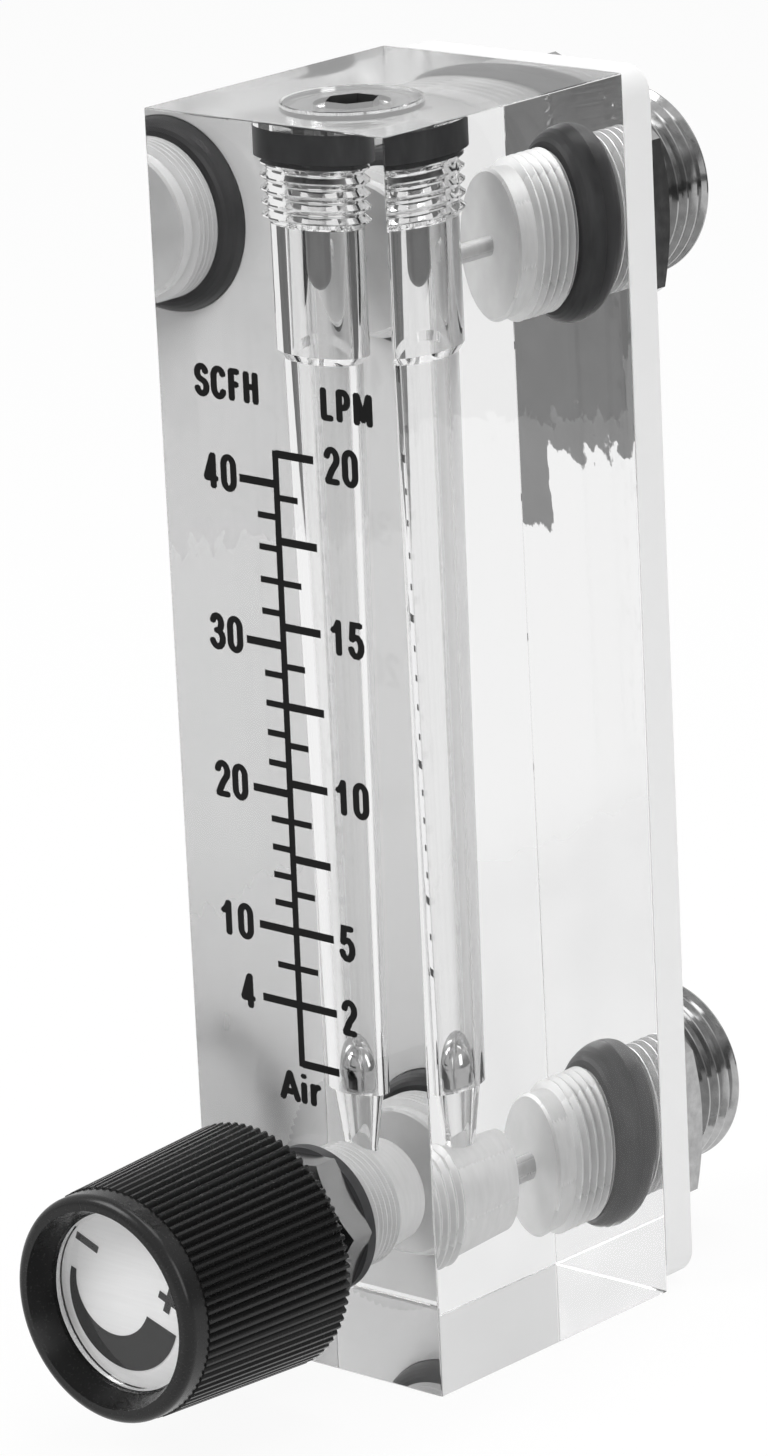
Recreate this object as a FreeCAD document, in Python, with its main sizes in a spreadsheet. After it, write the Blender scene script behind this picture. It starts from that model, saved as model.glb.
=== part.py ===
import FreeCAD, Part
import Sketcher
import os
from math import cos, pi, radians, sin, sqrt

# Oxygen flowmeter: a clear block bored as a tapered metering tube with a steel
# float, a needle valve with a black knob in front, and two threaded ports behind.
#
# Frame: origin at the centre of the block's bottom face, +X to the right as seen
# from the front, +Y towards the panel behind, +Z up. Millimetres.

doc = FreeCAD.newDocument("oxygen_flowmeter")
sheet = doc.addObject("Spreadsheet::Sheet", "sizes")

# Driving dimensions: name, size in millimetres (angles and counts say so), meaning
SIZES = [
    ("block_width", 26.0, "clear block, left to right"),
    ("block_depth", 30.0, "clear block, front to back"),
    ("block_height", 107.0, "clear block, bottom to top"),
    ("block_edge_round", 0.3, "polished round on the block's edges"),
    ("tube_axis_depth", 11.0, "metering bore's axis behind the front face"),
    ("port_height", 13.3, "axis of the valve and the lower port above the bottom, and of the upper port below the top"),
    ("thread_gap", 0.05, "radial play where a thread is shown as a plain cylinder"),
    ("seal_gap", 0.05, "play at each side of an O-ring in its space"),
    ("overrun", 1.0, "how far a cut starts outside the surface"),

    ("tap_bore_radius", 4.6, "drilled bore under the fine threads of plug and valve"),
    ("plug_bore_depth", 20.1, "depth of the drilled bore under the plug, from the top"),
    ("tube_top_bevel", 0.7, "height of the bevel between drilled bore and tube"),
    ("tube_top_radius", 3.9, "tapered tube at its upper end"),
    ("tube_bottom_radius", 3.1, "tapered tube at the float's seat"),
    ("seat_height", 23.15, "float seat above the block's bottom"),
    ("seat_radius", 2.54, "edge of the hole that the float rests on"),
    ("passage_bottom_radius", 2.25, "passage under the seat where it meets the valve bore"),
    ("float_radius", 2.85, "rim of the domed steel float"),
    ("float_rim_height", 0.25, "straight rim under the float's dome"),
    ("float_foot_radius", 2.64, "underside of the float, which covers the seat's hole"),
    ("float_foot_top_radius", 2.74, "float's foot, just under the rim"),
    ("float_foot_height", 1.25, "float's foot"),
    ("float_rest_gap", 0.03, "play between the float and its seat"),

    ("plug_head_radius", 5.85, "disc head of the top plug"),
    ("plug_head_thickness", 1.4, "disc head of the top plug"),
    ("plug_head_gap", 0.15, "radial play of the head in its recess"),
    ("plug_head_bevel", 0.2, "bevel on the rim of the head"),
    ("plug_seal_height", 2.5, "space for the O-ring under the head"),
    ("plug_seal_radius", 5.65, "outside of that O-ring"),
    ("plug_thread_radius", 5.0, "fine thread of the plug"),
    ("plug_thread_length", 5.4, "threaded length of the plug"),
    ("plug_pin_radius", 1.85, "stop pin under the plug"),
    ("plug_length", 15.3, "top of the plug to the tip of its stop pin"),
    ("socket_flats", 4.0, "hexagon socket in the plug, across flats"),
    ("socket_depth", 5.0, "hexagon socket in the plug"),

    ("valve_thread_radius", 5.0, "fine thread of the valve body"),
    ("valve_thread_depth", 8.7, "depth of the tapped length in the block"),
    ("valve_bore_depth", 15.7, "depth of the valve chamber from the front face"),
    ("inlet_channel_radius", 1.2, "orifice between the lower port and the valve chamber"),
    ("outlet_channel_radius", 0.85, "channel between the tube's top and the upper port"),
    ("washer_radius", 6.45, "rubber washer between valve body and block"),
    ("washer_thickness", 1.0, "rubber washer between valve body and block"),
    ("valve_hex_flats", 12.0, "hexagon of the valve body, across flats"),
    ("valve_hex_thickness", 3.0, "hexagon of the valve body"),
    ("valve_collar_radius", 4.2, "round collar in front of the hexagon"),
    ("valve_collar_end", 8.5, "collar's front end, out from the block's face"),
    ("valve_bevel", 0.5, "bevels on the valve body's ends"),
    ("valve_shank_length", 8.5, "threaded shank inside the block"),
    ("seal_bore_radius", 3.0, "polished bore that the stem's O-ring runs in"),
    ("seal_bore_start", 1.5, "start of that bore behind the block's face"),

    ("stem_thread_radius", 2.5, "lifting thread of the stem"),
    ("stem_thread_end", 1.2, "end of that thread behind the block's face"),
    ("stem_neck_radius", 1.9, "neck between thread and seal land"),
    ("stem_land_start", 5.0, "seal land, closed valve, behind the block's face"),
    ("stem_land_length", 3.6, "seal land"),
    ("stem_land_gap", 0.07, "running play of the land in the seal bore"),
    ("stem_ring_section", 1.15, "stem O-ring, thickness of the cord"),
    ("stem_groove_width", 1.4, "groove for the stem O-ring"),
    ("stem_groove_shoulder", 0.9, "land in front of the groove"),
    ("needle_radius", 1.5, "plain part of the needle"),
    ("needle_taper", 0.3125, "loss of radius for each millimetre of the cone"),
    ("needle_tip_radius", 0.4, "blunt end of the cone"),
    ("needle_seat_gap", 0.05, "play between the cone and the orifice when closed"),
    ("stem_shaft_radius", 2.0, "flatted shaft that carries the knob"),
    ("stem_flat", 1.5, "flat of that shaft, from the axis"),

    ("knob_rear", 8.1, "knob's rear rim, out from the block's face"),
    ("knob_front", 26.6, "knob's front rim, out from the block's face"),
    ("knob_rear_radius", 10.7, "over the ribs at the rear rim"),
    ("knob_rib_front_radius", 9.9, "over the ribs at their front end"),
    ("knob_rib_front", 24.4, "front end of the ribs, out from the block's face"),
    ("knob_ring_radius", 9.75, "smooth ring at the front"),
    ("knob_ring_round", 0.8, "round on the ring's outer edge"),
    ("rib_count", 80, "ribs round the knob"),
    ("flute_depth", 0.42, "depth of the flutes between the ribs"),
    ("flute_share", 0.72, "width of a flute, as a share of the rib pitch"),
    ("knob_cavity_radius", 8.7, "hollow at the back of the knob"),
    ("knob_web_rear", 20.0, "rear of the knob's web, out from the block's face"),
    ("knob_hub_radius", 4.6, "hub inside the knob"),
    ("knob_hub_rear", 9.0, "hub's rear end, out from the block's face"),
    ("hub_gap", 0.05, "play between the shaft and the hub"),
    ("dial_mouth_radius", 8.5, "mouth of the dial's pocket at the knob's front"),
    ("dial_mouth_depth", 2.2, "sloping wall from that mouth to the pocket"),
    ("dial_pocket_radius", 7.7, "pocket in the knob's front"),
    ("dial_pocket_floor", 22.3, "pocket's floor, out from the block's face"),
    ("dial_radius", 7.55, "printed dial disc"),
    ("dial_thickness", 0.6, "printed dial disc"),
    ("lens_gap", 0.08, "radial play of the clear cover in the pocket"),
    ("lens_thickness", 1.4, "clear cover over the dial"),
    ("lens_bevel", 0.3, "bevel on the cover's rim"),

    ("screw_radius", 1.25, "screw that holds the knob on the stem"),
    ("screw_head_radius", 2.3, "pan head"),
    ("screw_head_height", 1.4, "pan head"),
    ("screw_pocket_gap", 0.3, "play round the head"),
    ("screw_pocket_floor", 20.8, "seat of the head, out from the block's face"),
    ("screw_hole_gap", 0.15, "play of the screw in the knob's web"),
    ("screw_length", 8.0, "under the head"),
    ("shaft_end", 19.8, "front end of the stem, out from the block's face"),
    ("cross_length", 2.4, "cross recess, tip to tip"),
    ("cross_width", 0.6, "cross recess"),
    ("cross_depth", 0.8, "cross recess"),

    ("plate_thickness", 3.5, "opal back plate"),
    ("plate_inset", 0.4, "back plate's lower edge above the block's bottom"),
    ("plate_corner_round", 2.5, "corners of the back plate"),
    ("plate_hole_gap", 0.2, "radial play of the fittings in the plate"),
    ("port_bore_radius", 6.5, "blind bore of a port"),
    ("port_bore_depth", 10.1, "blind bore of a port, from the block's rear face"),
    ("port_end_bevel", 0.5, "bevel at the blind end"),
    ("port_thread_radius", 7.0, "fine thread of a port"),
    ("port_thread_depth", 7.7, "end of that thread, from the block's rear face"),
    ("port_mouth_radius", 8.45, "countersunk mouth of a port"),
    ("port_mouth_depth", 2.7, "countersunk mouth of a port"),
    ("fitting_radius", 8.33, "pipe thread of a fitting, 3/8 inch parallel"),
    ("fitting_length", 17.3, "fitting behind the block's rear face"),
    ("fitting_neck_radius", 4.85, "neck under the O-ring"),
    ("fitting_bore_radius", 3.5, "gas way through a fitting"),
    ("fitting_bevel", 0.8, "bevel on the ends of the threads"),
    ("nut_flats", 22.0, "panel nut, across flats"),
    ("nut_thickness", 4.8, "panel nut"),
]

for row, (alias, number, meaning) in enumerate(SIZES, 1):
    sheet.set(f"A{row}", alias)
    sheet.set(f"B{row}", str(number))
    sheet.setAlias(f"B{row}", alias)
    sheet.set(f"C{row}", meaning)
doc.recompute()


class Length:
    """A length with its number and the expression by which the sheet gives it."""

    def __init__(self, number, text):
        self.number = number
        self.text = text

    def join(self, other, sign, number):
        other_text = other.text if isinstance(other, Length) else repr(float(other))
        return Length(number, f"({self.text} {sign} {other_text})")

    def __add__(self, other):
        return self.join(other, "+", self.number + number_of(other))

    def __sub__(self, other):
        return self.join(other, "-", self.number - number_of(other))

    def __mul__(self, other):
        return self.join(other, "*", self.number * number_of(other))

    def __truediv__(self, other):
        return self.join(other, "/", self.number / number_of(other))

    def __neg__(self):
        return Length(-self.number, f"(-1 * {self.text})")


def number_of(value):
    return value.number if isinstance(value, Length) else float(value)


class Sheet:
    """The sheet's sizes by name, each as a Length."""


size = Sheet()
for alias, number, meaning in SIZES:
    setattr(size, alias, Length(float(number), f"sizes.{alias}"))

ZERO = Length(0.0, "0")
FRONT = -(size.block_depth / 2)
REAR = size.block_depth / 2
TUBE_Y = FRONT + size.tube_axis_depth
UPPER_PORT_HEIGHT = size.block_height - size.port_height
PORT_SPACING = UPPER_PORT_HEIGHT - size.port_height


# Helpers for the document

def new_body(name):
    body = doc.addObject("PartDesign::Body", name)
    body.Label = name
    return body


def new_sketch(body, name, role, offset=(ZERO, ZERO, ZERO)):
    """A sketch on one of the body's own origin planes, shifted by lengths from the sheet."""
    sketch = body.newObject("Sketcher::SketchObject", name)
    plane = next(item for item in body.Origin.OriginFeatures if item.Role == role)
    sketch.AttachmentSupport = [(plane, "")]
    sketch.MapMode = "FlatFace"
    for axis, length in zip("xyz", offset):
        if length is not ZERO:
            sketch.setExpression(f"AttachmentOffset.Base.{axis}", length.text)
    doc.recompute()
    return sketch


def pin_point(sketch, geometry, point, corner):
    """Hold one sketch point at the given lengths from the sketch's origin."""
    for kind, length in zip(("DistanceX", "DistanceY"), corner):
        index = sketch.addConstraint(
            Sketcher.Constraint(kind, -1, 1, geometry, point, number_of(length)))
        if isinstance(length, Length):
            sketch.setExpression(f"Constraints[{index}]", length.text)


def draw_outline(sketch, corners):
    """A closed outline of straight lines through the corners."""
    points = [FreeCAD.Vector(number_of(u), number_of(v), 0) for u, v in corners]
    first = sketch.GeometryCount
    count = len(corners)
    for index in range(count):
        following = points[(index + 1) % count]
        sketch.addGeometry(Part.LineSegment(points[index], following), False)
    for index in range(count):
        following = first + (index + 1) % count
        sketch.addConstraint(Sketcher.Constraint("Coincident", first + index, 2, following, 1))
    for index, corner in enumerate(corners):
        pin_point(sketch, first + index, 1, corner)


def draw_circle(sketch, centre, radius):
    middle = FreeCAD.Vector(number_of(centre[0]), number_of(centre[1]), 0)
    index = sketch.addGeometry(
        Part.Circle(middle, FreeCAD.Vector(0, 0, 1), number_of(radius)), False)
    pin_point(sketch, index, 3, centre)
    limit = sketch.addConstraint(Sketcher.Constraint("Radius", index, number_of(radius)))
    sketch.setExpression(f"Constraints[{limit}]", radius.text)


def hexagon(flats, first_corner_deg):
    """Corners of a hexagon of this size across flats."""
    corner_radius = flats / sqrt(3)
    angles = [radians(first_corner_deg + 60 * step) for step in range(6)]
    return [(corner_radius * cos(angle), corner_radius * sin(angle)) for angle in angles]


def rectangle(low, high):
    return [(low[0], low[1]), (high[0], low[1]), (high[0], high[1]), (low[0], high[1])]


def turn(body, name, corners, kind="Revolution", role="XZ_Plane", offset=(ZERO, ZERO, ZERO), axis="V_Axis"):
    """Turn an outline of (radius, height) corners about the axis, as metal or as a cut."""
    sketch = new_sketch(body, name + "_outline", role, offset)
    draw_outline(sketch, corners)
    feature = body.newObject("PartDesign::" + kind, name)
    feature.Profile = sketch
    feature.ReferenceAxis = (sketch, [axis])
    feature.Angle = 360
    doc.recompute()
    return feature


def extrude(body, name, sketch, length, kind="Pad", back=False):
    """Push a sketch along its normal, or against it where back is set."""
    feature = body.newObject("PartDesign::" + kind, name)
    feature.Profile = sketch
    feature.setExpression("Length", length.text)
    feature.Reversed = back
    doc.recompute()
    return feature


def repeat_along(body, name, feature, axis_role, spacing):
    """Two copies of a feature in all, spaced along one of the body's axes."""
    pattern = body.newObject("PartDesign::LinearPattern", name)
    pattern.Originals = [feature]
    axis = next(item for item in body.Origin.OriginFeatures if item.Role == axis_role)
    pattern.Direction = (axis, [""])
    pattern.setExpression("Length", spacing.text)
    pattern.Occurrences = 2
    body.Tip = pattern
    doc.recompute()
    return pattern


def dress_edges(body, name, kind, chosen, amount):
    """Round or bevel the edges of the body's tip that the test chooses."""
    base = body.Tip
    names = [f"Edge{n}" for n, edge in enumerate(base.Shape.Edges, 1) if chosen(edge)]
    feature = body.newObject("PartDesign::" + kind, name)
    feature.Base = (base, names)
    feature.setExpression("Radius" if kind == "Fillet" else "Size", amount.text)
    doc.recompute()
    return feature


def circle_at(height, radius):
    """Choose round edges about the local Z axis at this height and radius."""
    def chosen(edge):
        curve = edge.Curve
        return (curve.TypeId == "Part::GeomCircle"
                and abs(curve.Center.z - number_of(height)) < 1e-4
                and abs(curve.Radius - number_of(radius)) < 1e-4)
    return chosen


def place(item, x=ZERO, y=ZERO, z=ZERO, facing_back=False):
    """Put a piece in the frame; facing_back turns its own Z towards +Y."""
    turned = FreeCAD.Rotation(FreeCAD.Vector(1, 0, 0), -90 if facing_back else 0)
    item.Placement = FreeCAD.Placement(
        FreeCAD.Vector(number_of(x), number_of(y), number_of(z)), turned)
    for axis, length in (("x", x), ("y", y), ("z", z)):
        if length is not ZERO:
            item.setExpression(f"Placement.Base.{axis}", length.text)


def ring_seal(name, mean_radius, section):
    """An O-ring, free of its load."""
    torus = doc.addObject("Part::Torus", name)
    torus.Label = name
    torus.setExpression("Radius1", mean_radius.text)
    torus.setExpression("Radius2", (section / 2).text)
    return torus


def chamfer_hexagon(body, name, flats, face, inwards):
    """Take the corners off one face of a hexagon at 30 degrees, as a nut is turned."""
    inner = flats * 0.475
    outer = flats / sqrt(3) + 1
    drop = (outer - inner) * sin(pi / 6) / cos(pi / 6)
    corners = [(inner, face), (outer, face), (outer, face + drop * inwards)]
    return turn(body, name, corners, "Groove")


# Clear block: cut from cast acrylic sheet, bored, tapped and polished

block = new_body("metering_block")
block_outline = new_sketch(block, "block_outline", "XY_Plane")
half_width = size.block_width / 2
draw_outline(block_outline, rectangle((-half_width, FRONT), (half_width, REAR)))
extrude(block, "block_blank", block_outline, size.block_height)
dress_edges(block, "block_rounds", "Fillet", lambda edge: True, size.block_edge_round)

plug_recess_floor = size.block_height - size.plug_head_thickness - size.plug_seal_height
plug_thread_end = plug_recess_floor - size.plug_thread_length
plug_bore_end = size.block_height - size.plug_bore_depth
above_block = size.block_height + size.overrun
tube_plane = (ZERO, ZERO, -TUBE_Y)
turn(block, "metering_bore", [
    (0, above_block),
    (size.plug_head_radius + size.plug_head_gap, above_block),
    (size.plug_head_radius + size.plug_head_gap, plug_recess_floor),
    (size.plug_thread_radius, plug_recess_floor),
    (size.plug_thread_radius, plug_thread_end),
    (size.tap_bore_radius, plug_thread_end),
    (size.tap_bore_radius, plug_bore_end),
    (size.tube_top_radius, plug_bore_end - size.tube_top_bevel),
    (size.tube_bottom_radius, size.seat_height),
    (size.seat_radius, size.seat_height),
    (size.passage_bottom_radius, size.port_height),
    (0, size.port_height),
], "Groove", offset=tube_plane)

valve_axis = (ZERO, size.port_height, ZERO)
port_blind_end = REAR - size.port_bore_depth
turn(block, "valve_chamber", [
    (FRONT - size.overrun, 0),
    (FRONT - size.overrun, size.valve_thread_radius),
    (FRONT + size.valve_thread_depth, size.valve_thread_radius),
    (FRONT + size.valve_thread_depth, size.tap_bore_radius),
    (FRONT + size.valve_bore_depth, size.tap_bore_radius),
    (FRONT + size.valve_bore_depth, size.inlet_channel_radius),
    (port_blind_end + size.overrun, size.inlet_channel_radius),
    (port_blind_end + size.overrun, 0),
], "Groove", "YZ_Plane", valve_axis, "H_Axis")

port = turn(block, "lower_port", [
    (REAR + size.overrun, 0),
    (REAR + size.overrun, size.port_mouth_radius),
    (REAR, size.port_mouth_radius),
    (REAR - size.port_mouth_depth, size.port_thread_radius),
    (REAR - size.port_thread_depth, size.port_thread_radius),
    (REAR - size.port_thread_depth, size.port_bore_radius),
    (port_blind_end + size.port_end_bevel, size.port_bore_radius),
    (port_blind_end, size.port_bore_radius - size.port_end_bevel),
    (port_blind_end, 0),
], "Groove", "YZ_Plane", valve_axis, "H_Axis")
repeat_along(block, "both_ports", port, "Z_Axis", PORT_SPACING)

upper_axis = (ZERO, UPPER_PORT_HEIGHT, ZERO)
turn(block, "outlet_channel", [
    (TUBE_Y, 0),
    (TUBE_Y, size.outlet_channel_radius),
    (port_blind_end + size.overrun, size.outlet_channel_radius),
    (port_blind_end + size.overrun, 0),
], "Groove", "YZ_Plane", upper_axis, "H_Axis")


# Opal back plate: cut from sheet, drilled for the two fittings that clamp it

back_plate = new_body("back_plate")
plate_outline = new_sketch(back_plate, "plate_outline", "XZ_Plane")
draw_outline(plate_outline, rectangle((-half_width, size.plate_inset), (half_width, size.block_height)))
extrude(back_plate, "plate_blank", plate_outline, size.plate_thickness, back=True)
plate_holes = new_sketch(back_plate, "plate_hole", "XZ_Plane")
draw_circle(plate_holes, (0, size.port_height), size.fitting_radius + size.plate_hole_gap)
plate_hole = extrude(back_plate, "lower_plate_hole", plate_holes, size.plate_thickness, "Pocket")
repeat_along(back_plate, "plate_both_holes", plate_hole, "Z_Axis", PORT_SPACING)
dress_edges(back_plate, "plate_corners", "Fillet",
            lambda edge: edge.Curve.TypeId == "Part::GeomLine" and abs(edge.tangentAt(0).y) > 0.99
            and abs(edge.Vertexes[0].Point.x) > number_of(half_width) - 1e-4,
            size.plate_corner_round)
place(back_plate, y=REAR)


# Top plug: turned from clear acrylic, with a stop pin that keeps the float in the tube

top_plug = new_body("top_plug")
plug_neck_radius = size.plug_seal_radius - size.plug_seal_height + size.seal_gap
plug_thread_outside = size.plug_thread_radius - size.thread_gap
plug_neck_end = -(size.plug_head_thickness + size.plug_seal_height)
plug_thread_tip = plug_neck_end - size.plug_thread_length
turn(top_plug, "plug_turning", [
    (0, 0),
    (size.plug_head_radius - size.plug_head_bevel, 0),
    (size.plug_head_radius, -size.plug_head_bevel),
    (size.plug_head_radius, -size.plug_head_thickness),
    (plug_neck_radius, -size.plug_head_thickness),
    (plug_neck_radius, plug_neck_end),
    (plug_thread_outside, plug_neck_end),
    (plug_thread_outside, plug_thread_tip),
    (size.plug_pin_radius, plug_thread_tip),
    (size.plug_pin_radius, -size.plug_length),
    (0, -size.plug_length),
])
dress_edges(top_plug, "pin_round", "Fillet",
            circle_at(-size.plug_length, size.plug_pin_radius), size.plug_pin_radius * 0.9)
socket_outline = new_sketch(top_plug, "socket_outline", "XY_Plane")
draw_outline(socket_outline, hexagon(size.socket_flats, 0))
extrude(top_plug, "hexagon_socket", socket_outline, size.socket_depth, "Pocket")
place(top_plug, y=TUBE_Y, z=size.block_height)

plug_ring_section = size.plug_seal_height - size.seal_gap * 2
plug_ring = ring_seal("top_plug_o_ring", size.plug_seal_radius - plug_ring_section / 2, plug_ring_section)
place(plug_ring, y=TUBE_Y, z=plug_recess_floor + size.plug_seal_height / 2)


# Float: turned and polished steel, domed above its rim, with a foot that covers the seat's hole

metering_float = new_body("float")
rim_top = size.float_foot_height + size.float_rim_height
dome_round = size.float_radius * 0.97
turn(metering_float, "float_turning", [
    (0, 0),
    (size.float_foot_radius, 0),
    (size.float_foot_top_radius, size.float_foot_height),
    (size.float_radius, size.float_foot_height),
    (size.float_radius, rim_top + dome_round),
    (0, rim_top + dome_round),
])
dress_edges(metering_float, "float_dome", "Fillet",
            circle_at(rim_top + dome_round, size.float_radius), dome_round)
place(metering_float, y=TUBE_Y, z=size.seat_height + size.float_rest_gap)


# Valve pieces share one frame: origin on the block's front face, own Z into the block

def place_on_valve(item, along=ZERO):
    place(item, y=FRONT + along, z=size.port_height, facing_back=True)


valve_washer = new_body("valve_washer")
turn(valve_washer, "washer_turning", rectangle(
    (size.valve_thread_radius + size.seal_gap * 2, -size.washer_thickness), (size.washer_radius, 0)))
place_on_valve(valve_washer)

# Valve body: nickel-plated brass, turned from hexagon bar, as its tightening left it
VALVE_HEX_TURN = -3.5
valve_body = new_body("valve_body")
hex_rear = -size.washer_thickness
hex_front = hex_rear - size.valve_hex_thickness
valve_thread_outside = size.valve_thread_radius - size.thread_gap
turn(valve_body, "body_turning", [
    (0, -size.valve_collar_end),
    (size.valve_collar_radius - size.valve_bevel, -size.valve_collar_end),
    (size.valve_collar_radius, size.valve_bevel - size.valve_collar_end),
    (size.valve_collar_radius, hex_front),
    (valve_thread_outside, hex_front),
    (valve_thread_outside, size.valve_shank_length - size.valve_bevel),
    (valve_thread_outside - size.valve_bevel, size.valve_shank_length),
    (0, size.valve_shank_length),
])
hex_outline = new_sketch(valve_body, "hex_outline", "XY_Plane", (ZERO, ZERO, hex_front))
draw_outline(hex_outline, hexagon(size.valve_hex_flats, VALVE_HEX_TURN))
extrude(valve_body, "body_hexagon", hex_outline, size.valve_hex_thickness)
chamfer_hexagon(valve_body, "hex_front_bevel", size.valve_hex_flats, hex_front, 1)
stem_hole_radius = size.stem_thread_radius + size.thread_gap
turn(valve_body, "stem_bore", [
    (0, -(size.valve_collar_end + size.overrun)),
    (stem_hole_radius, -(size.valve_collar_end + size.overrun)),
    (stem_hole_radius, size.seal_bore_start),
    (size.seal_bore_radius, size.seal_bore_start),
    (size.seal_bore_radius, size.valve_shank_length + size.overrun),
    (0, size.valve_shank_length + size.overrun),
], "Groove")
place_on_valve(valve_body)

# Valve stem: brass, with the knob's shaft in front and the needle behind
valve_stem = new_body("valve_stem")
land_radius = size.seal_bore_radius - size.stem_land_gap
land_end = size.stem_land_start + size.stem_land_length
groove_start = size.stem_land_start + size.stem_groove_shoulder
groove_end = groove_start + size.stem_groove_width
groove_floor = size.seal_bore_radius - size.seal_gap * 2 - size.stem_ring_section
closed_radius = size.inlet_channel_radius - size.needle_seat_gap
cone_start = size.valve_bore_depth - (size.needle_radius - closed_radius) / size.needle_taper
needle_tip = size.valve_bore_depth + (closed_radius - size.needle_tip_radius) / size.needle_taper
turn(valve_stem, "stem_turning", [
    (0, -size.shaft_end),
    (size.stem_shaft_radius, -size.shaft_end),
    (size.stem_shaft_radius, -size.knob_hub_rear),
    (size.stem_thread_radius, -size.knob_hub_rear),
    (size.stem_thread_radius, size.stem_thread_end),
    (size.stem_neck_radius, size.stem_thread_end),
    (size.stem_neck_radius, size.stem_land_start),
    (land_radius, size.stem_land_start),
    (land_radius, groove_start),
    (groove_floor, groove_start),
    (groove_floor, groove_end),
    (land_radius, groove_end),
    (land_radius, land_end),
    (size.needle_radius, land_end),
    (size.needle_radius, cone_start),
    (size.needle_tip_radius, needle_tip),
    (0, needle_tip),
])
flat_outline = new_sketch(valve_stem, "flat_outline", "XY_Plane", (ZERO, ZERO, -size.knob_hub_rear))
draw_outline(flat_outline, rectangle(
    (size.stem_flat, -size.stem_thread_radius), (size.stem_thread_radius, size.stem_thread_radius)))
extrude(valve_stem, "shaft_flat", flat_outline, size.shaft_end - size.knob_hub_rear, "Pocket")
screw_tip = size.screw_length - size.screw_pocket_floor
turn(valve_stem, "screw_hole", [
    (0, -(size.shaft_end + size.overrun)),
    (size.screw_radius + size.thread_gap, -(size.shaft_end + size.overrun)),
    (size.screw_radius + size.thread_gap, screw_tip + size.overrun),
    (0, screw_tip + size.overrun),
], "Groove")
place_on_valve(valve_stem)

stem_ring_radius = size.seal_bore_radius - size.seal_gap - size.stem_ring_section / 2
stem_ring = ring_seal("stem_o_ring", stem_ring_radius, size.stem_ring_section)
place_on_valve(stem_ring, (groove_start + groove_end) / 2)


# Knob: moulded black plastic with fine straight ribs, hollow behind, a dial pocket in front

knob = new_body("knob")
turn(knob, "knob_outside", [
    (0, -size.knob_front),
    (size.knob_ring_radius, -size.knob_front),
    (size.knob_ring_radius, -size.knob_rib_front),
    (size.knob_rib_front_radius, -size.knob_rib_front),
    (size.knob_rear_radius, -size.knob_rear),
    (0, -size.knob_rear),
])
dress_edges(knob, "ring_round", "Fillet",
            circle_at(-size.knob_front, size.knob_ring_radius), size.knob_ring_round)


def flute_end(name, height, crest_radius):
    """The V of one flute at one end of the ribs, wider than the crest by the overrun."""
    sketch = new_sketch(knob, name, "XY_Plane", (ZERO, ZERO, height))
    half_opening = crest_radius * size.flute_share * pi / size.rib_count
    flare = (size.flute_depth + size.overrun) / size.flute_depth
    outer = crest_radius + size.overrun
    draw_outline(sketch, [
        (crest_radius - size.flute_depth, 0),
        (outer, half_opening * flare),
        (outer, -(half_opening * flare)),
    ])
    return sketch


flute = knob.newObject("PartDesign::SubtractiveLoft", "one_flute")
flute.Profile = flute_end("flute_rear", -size.knob_rear, size.knob_rear_radius)
flute.Sections = [flute_end("flute_front", -size.knob_rib_front, size.knob_rib_front_radius)]
flute.Ruled = True
doc.recompute()
flutes = knob.newObject("PartDesign::PolarPattern", "flutes")
flutes.Originals = [flute]
flutes.Axis = (next(item for item in knob.Origin.OriginFeatures if item.Role == "Z_Axis"), [""])
flutes.Angle = 360
flutes.setExpression("Occurrences", size.rib_count.text)
knob.Tip = flutes
doc.recompute()

turn(knob, "rear_hollow", [
    (0, size.overrun - size.knob_rear),
    (size.knob_cavity_radius, size.overrun - size.knob_rear),
    (size.knob_cavity_radius, -size.knob_web_rear),
    (size.knob_hub_radius, -size.knob_web_rear),
    (size.knob_hub_radius, -size.knob_hub_rear),
    (0, -size.knob_hub_rear),
], "Groove")
hub_bore_radius = size.stem_shaft_radius + size.hub_gap
screw_head_pocket = size.screw_head_radius + size.screw_pocket_gap
turn(knob, "front_pocket_and_bore", [
    (0, -(size.knob_front + size.overrun)),
    (size.dial_mouth_radius, -(size.knob_front + size.overrun)),
    (size.dial_mouth_radius, -size.knob_front),
    (size.dial_pocket_radius, size.dial_mouth_depth - size.knob_front),
    (size.dial_pocket_radius, -size.dial_pocket_floor),
    (screw_head_pocket, -size.dial_pocket_floor),
    (screw_head_pocket, -size.screw_pocket_floor),
    (size.screw_radius + size.screw_hole_gap, -size.screw_pocket_floor),
    (size.screw_radius + size.screw_hole_gap, -size.shaft_end),
    (hub_bore_radius, -size.shaft_end),
    (hub_bore_radius, size.overrun - size.knob_hub_rear),
    (0, size.overrun - size.knob_hub_rear),
], "Groove")
key_outline = new_sketch(knob, "key_outline", "XY_Plane", (ZERO, ZERO, -size.shaft_end))
draw_outline(key_outline, rectangle(
    (size.stem_flat + size.hub_gap, -hub_bore_radius), (hub_bore_radius + size.hub_gap, hub_bore_radius)))
extrude(knob, "hub_flat", key_outline, size.shaft_end - size.knob_hub_rear)
place_on_valve(knob)

# Screw: steel, pan head with a cross recess, into the end of the stem
knob_screw = new_body("knob_screw")
head_front = -(size.screw_pocket_floor + size.screw_head_height)
head_round = size.screw_head_height / 3
turn(knob_screw, "screw_turning", [
    (0, head_front),
    (size.screw_head_radius - head_round, head_front),
    (size.screw_head_radius, head_front + head_round),
    (size.screw_head_radius, -size.screw_pocket_floor),
    (size.screw_radius, -size.screw_pocket_floor),
    (size.screw_radius, screw_tip),
    (0, screw_tip),
])
reach = size.cross_length / 2
arm = size.cross_width / 2
cross_outline = new_sketch(knob_screw, "cross_outline", "XY_Plane", (ZERO, ZERO, head_front))
draw_outline(cross_outline, [
    (-reach, -arm), (-arm, -arm), (-arm, -reach), (arm, -reach), (arm, -arm), (reach, -arm),
    (reach, arm), (arm, arm), (arm, reach), (-arm, reach), (-arm, arm), (-reach, arm),
])
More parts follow.
